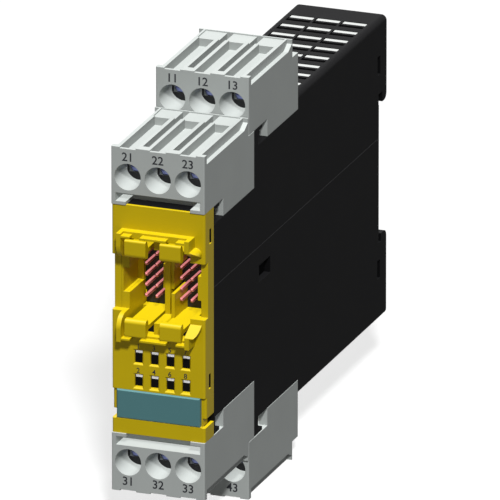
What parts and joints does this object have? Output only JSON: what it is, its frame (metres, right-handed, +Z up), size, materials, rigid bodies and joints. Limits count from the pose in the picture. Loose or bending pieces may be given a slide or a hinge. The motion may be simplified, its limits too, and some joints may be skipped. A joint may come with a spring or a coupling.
{
  "type": "safety expansion module",
  "caption": "Narrow rail-mounted control module with a black two-shell housing, yellow front cover with plug sockets, and pluggable grey screw terminal blocks above and below.",
  "frame": {"origin": "middle of the rear face that seats on the mounting rail, on the axis of the rail", "axes": "+X across the module to the right seen from the front, +Y backwards towards the rail, +Z up"},
  "size_m": [0.0226, 0.1233, 0.1017],
  "materials": {
    "housing_plastic": "fine moulded texture",
    "cover_plastic": "satin",
    "terminal_plastic": "satin",
    "label_plastic": "satin",
    "guard_plastic": "satin",
    "guide_plastic": "translucent white",
    "board_laminate": "solder mask",
    "tinned_copper": "tinned",
    "screw_steel": "blue zinc plated",
    "cage_steel": "zinc plated",
    "pin_metal": "copper coloured plating",
    "socket_plastic": "satin",
    "relay_case": "satin",
    "can_metal": "satin",
    "chip_resin": "matte",
    "spring_steel": "bright"
  },
  "bodies": {
    "housing": {"housing_upper_shell": "housing_plastic", "housing_lower_shell": "housing_plastic", "front_cover": "cover_plastic", "label_plate": "label_plastic", "rail_spring": "spring_steel", "left_socket_base": "socket_plastic", "right_socket_base": "socket_plastic", "left_socket_pins": "pin_metal", "right_socket_pins": "pin_metal", "main_board": "board_laminate", "front_board": "board_laminate", "relays": "relay_case", "capacitors": "can_metal", "control_chips": "chip_resin", "light_guide": "guide_plastic", "roof_vent_guard": "guard_plastic", "floor_vent_guard": "guard_plastic", "front_top_header": "socket_plastic", "front_top_header_pins": "tinned_copper", "rear_top_header": "socket_plastic", "rear_top_header_pins": "tinned_copper", "rear_bottom_header": "socket_plastic", "rear_bottom_header_pins": "tinned_copper", "front_bottom_header": "socket_plastic", "front_bottom_header_pins": "tinned_copper"},
    "front_top_terminal": {"front_top_block": "terminal_plastic", "front_top_contacts": "tinned_copper"},
    "front_top_screw_1_body": {"front_top_screw_1": "screw_steel"},
    "front_top_cage_1_body": {"front_top_cage_1": "cage_steel"},
    "front_top_screw_2_body": {"front_top_screw_2": "screw_steel"},
    "front_top_cage_2_body": {"front_top_cage_2": "cage_steel"},
    "front_top_screw_3_body": {"front_top_screw_3": "screw_steel"},
    "front_top_cage_3_body": {"front_top_cage_3": "cage_steel"},
    "rear_top_terminal": {"rear_top_block": "terminal_plastic", "rear_top_contacts": "tinned_copper"},
    "rear_top_screw_1_body": {"rear_top_screw_1": "screw_steel"},
    "rear_top_cage_1_body": {"rear_top_cage_1": "cage_steel"},
    "rear_top_screw_2_body": {"rear_top_screw_2": "screw_steel"},
    "rear_top_cage_2_body": {"rear_top_cage_2": "cage_steel"},
    "rear_top_screw_3_body": {"rear_top_screw_3": "screw_steel"},
    "rear_top_cage_3_body": {"rear_top_cage_3": "cage_steel"},
    "rear_bottom_terminal": {"rear_bottom_block": "terminal_plastic", "rear_bottom_contacts": "tinned_copper"},
    "rear_bottom_screw_1_body": {"rear_bottom_screw_1": "screw_steel"},
    "rear_bottom_cage_1_body": {"rear_bottom_cage_1": "cage_steel"},
    "rear_bottom_screw_2_body": {"rear_bottom_screw_2": "screw_steel"},
    "rear_bottom_cage_2_body": {"rear_bottom_cage_2": "cage_steel"},
    "rear_bottom_screw_3_body": {"rear_bottom_screw_3": "screw_steel"},
    "rear_bottom_cage_3_body": {"rear_bottom_cage_3": "cage_steel"},
    "front_bottom_terminal": {"front_bottom_block": "terminal_plastic", "front_bottom_contacts": "tinned_copper"},
    "front_bottom_screw_1_body": {"front_bottom_screw_1": "screw_steel"},
    "front_bottom_cage_1_body": {"front_bottom_cage_1": "cage_steel"},
    "front_bottom_screw_2_body": {"front_bottom_screw_2": "screw_steel"},
    "front_bottom_cage_2_body": {"front_bottom_cage_2": "cage_steel"},
    "front_bottom_screw_3_body": {"front_bottom_screw_3": "screw_steel"},
    "front_bottom_cage_3_body": {"front_bottom_cage_3": "cage_steel"}
  },
  "joints": [
    {"name": "front_top_lift", "type": "slide", "parent": "housing", "child": "front_top_terminal", "axis": [0, 0, 1], "range_m": [0, 0.02]},
    {"name": "front_top_screw_1_turn", "type": "hinge", "parent": "front_top_terminal", "child": "front_top_screw_1_body", "pos_m": [-0.00725, -0.1047, 0.0337], "axis": [0, 1, 0], "range_deg": [0, 1800]},
    {"name": "front_top_cage_1_travel", "type": "slide", "parent": "front_top_terminal", "child": "front_top_cage_1_body", "axis": [0, -1, 0], "range_m": [0, 0.0025]},
    {"name": "front_top_screw_2_turn", "type": "hinge", "parent": "front_top_terminal", "child": "front_top_screw_2_body", "pos_m": [0, -0.1047, 0.0337], "axis": [0, 1, 0], "range_deg": [0, 1800]},
    {"name": "front_top_cage_2_travel", "type": "slide", "parent": "front_top_terminal", "child": "front_top_cage_2_body", "axis": [0, -1, 0], "range_m": [0, 0.0025]},
    {"name": "front_top_screw_3_turn", "type": "hinge", "parent": "front_top_terminal", "child": "front_top_screw_3_body", "pos_m": [0.00725, -0.1047, 0.0337], "axis": [0, 1, 0], "range_deg": [0, 1800]},
    {"name": "front_top_cage_3_travel", "type": "slide", "parent": "front_top_terminal", "child": "front_top_cage_3_body", "axis": [0, -1, 0], "range_m": [0, 0.0025]},
    {"name": "rear_top_lift", "type": "slide", "parent": "front_top_terminal", "child": "rear_top_terminal", "axis": [0, 0, 1], "range_m": [0, 0.02]},
    {"name": "rear_top_screw_1_turn", "type": "hinge", "parent": "rear_top_terminal", "child": "rear_top_screw_1_body", "pos_m": [-0.00725, -0.07598, 0.04325], "axis": [0, 1, 0], "range_deg": [0, 1800]},
    {"name": "rear_top_cage_1_travel", "type": "slide", "parent": "rear_top_terminal", "child": "rear_top_cage_1_body", "axis": [0, -1, 0], "range_m": [0, 0.0025]},
    {"name": "rear_top_screw_2_turn", "type": "hinge", "parent": "rear_top_terminal", "child": "rear_top_screw_2_body", "pos_m": [0, -0.07598, 0.04325], "axis": [0, 1, 0], "range_deg": [0, 1800]},
    {"name": "rear_top_cage_2_travel", "type": "slide", "parent": "rear_top_terminal", "child": "rear_top_cage_2_body", "axis": [0, -1, 0], "range_m": [0, 0.0025]},
    {"name": "rear_top_screw_3_turn", "type": "hinge", "parent": "rear_top_terminal", "child": "rear_top_screw_3_body", "pos_m": [0.00725, -0.07598, 0.04325], "axis": [0, 1, 0], "range_deg": [0, 1800]},
    {"name": "rear_top_cage_3_travel", "type": "slide", "parent": "rear_top_terminal", "child": "rear_top_cage_3_body", "axis": [0, -1, 0], "range_m": [0, 0.0025]},
    {"name": "rear_bottom_lift", "type": "slide", "parent": "front_bottom_terminal", "child": "rear_bottom_terminal", "axis": [0, 0, -1], "range_m": [0, 0.02]},
    {"name": "rear_bottom_screw_1_turn", "type": "hinge", "parent": "rear_bottom_terminal", "child": "rear_bottom_screw_1_body", "pos_m": [0.00725, -0.07598, -0.04435], "axis": [0, 1, 0], "range_deg": [0, 1800]},
    {"name": "rear_bottom_cage_1_travel", "type": "slide", "parent": "rear_bottom_terminal", "child": "rear_bottom_cage_1_body", "axis": [0, -1, 0], "range_m": [0, 0.0025]},
    {"name": "rear_bottom_screw_2_turn", "type": "hinge", "parent": "rear_bottom_terminal", "child": "rear_bottom_screw_2_body", "pos_m": [0, -0.07598, -0.04435], "axis": [0, 1, 0], "range_deg": [0, 1800]},
    {"name": "rear_bottom_cage_2_travel", "type": "slide", "parent": "rear_bottom_terminal", "child": "rear_bottom_cage_2_body", "axis": [0, -1, 0], "range_m": [0, 0.0025]},
    {"name": "rear_bottom_screw_3_turn", "type": "hinge", "parent": "rear_bottom_terminal", "child": "rear_bottom_screw_3_body", "pos_m": [-0.00725, -0.07598, -0.04435], "axis": [0, 1, 0], "range_deg": [0, 1800]},
    {"name": "rear_bottom_cage_3_travel", "type": "slide", "parent": "rear_bottom_terminal", "child": "rear_bottom_cage_3_body", "axis": [0, -1, 0], "range_m": [0, 0.0025]},
    {"name": "front_bottom_lift", "type": "slide", "parent": "housing", "child": "front_bottom_terminal", "axis": [0, 0, -1], "range_m": [0, 0.02]},
    {"name": "front_bottom_screw_1_turn", "type": "hinge", "parent": "front_bottom_terminal", "child": "front_bottom_screw_1_body", "pos_m": [0.00725, -0.1047, -0.0348], "axis": [0, 1, 0], "range_deg": [0, 1800]},
    {"name": "front_bottom_cage_1_travel", "type": "slide", "parent": "front_bottom_terminal", "child": "front_bottom_cage_1_body", "axis": [0, -1, 0], "range_m": [0, 0.0025]},
    {"name": "front_bottom_screw_2_turn", "type": "hinge", "parent": "front_bottom_terminal", "child": "front_bottom_screw_2_body", "pos_m": [0, -0.1047, -0.0348], "axis": [0, 1, 0], "range_deg": [0, 1800]},
    {"name": "front_bottom_cage_2_travel", "type": "slide", "parent": "front_bottom_terminal", "child": "front_bottom_cage_2_body", "axis": [0, -1, 0], "range_m": [0, 0.0025]},
    {"name": "front_bottom_screw_3_turn", "type": "hinge", "parent": "front_bottom_terminal", "child": "front_bottom_screw_3_body", "pos_m": [-0.00725, -0.1047, -0.0348], "axis": [0, 1, 0], "range_deg": [0, 1800]},
    {"name": "front_bottom_cage_3_travel", "type": "slide", "parent": "front_bottom_terminal", "child": "front_bottom_cage_3_body", "axis": [0, -1, 0], "range_m": [0, 0.0025]}
  ],
  "couplings": [
    {"joint": "front_top_screw_1_turn", "follows": "front_top_cage_1_travel", "rad_per_m": 12566},
    {"joint": "front_top_screw_2_turn", "follows": "front_top_cage_2_travel", "rad_per_m": 12566},
    {"joint": "front_top_screw_3_turn", "follows": "front_top_cage_3_travel", "rad_per_m": 12566},
    {"joint": "rear_top_screw_1_turn", "follows": "rear_top_cage_1_travel", "rad_per_m": 12566},
    {"joint": "rear_top_screw_2_turn", "follows": "rear_top_cage_2_travel", "rad_per_m": 12566},
    {"joint": "rear_top_screw_3_turn", "follows": "rear_top_cage_3_travel", "rad_per_m": 12566},
    {"joint": "rear_bottom_screw_1_turn", "follows": "rear_bottom_cage_1_travel", "rad_per_m": 12566},
    {"joint": "rear_bottom_screw_2_turn", "follows": "rear_bottom_cage_2_travel", "rad_per_m": 12566},
    {"joint": "rear_bottom_screw_3_turn", "follows": "rear_bottom_cage_3_travel", "rad_per_m": 12566},
    {"joint": "front_bottom_screw_1_turn", "follows": "front_bottom_cage_1_travel", "rad_per_m": 12566},
    {"joint": "front_bottom_screw_2_turn", "follows": "front_bottom_cage_2_travel", "rad_per_m": 12566},
    {"joint": "front_bottom_screw_3_turn", "follows": "front_bottom_cage_3_travel", "rad_per_m": 12566}
  ]
}
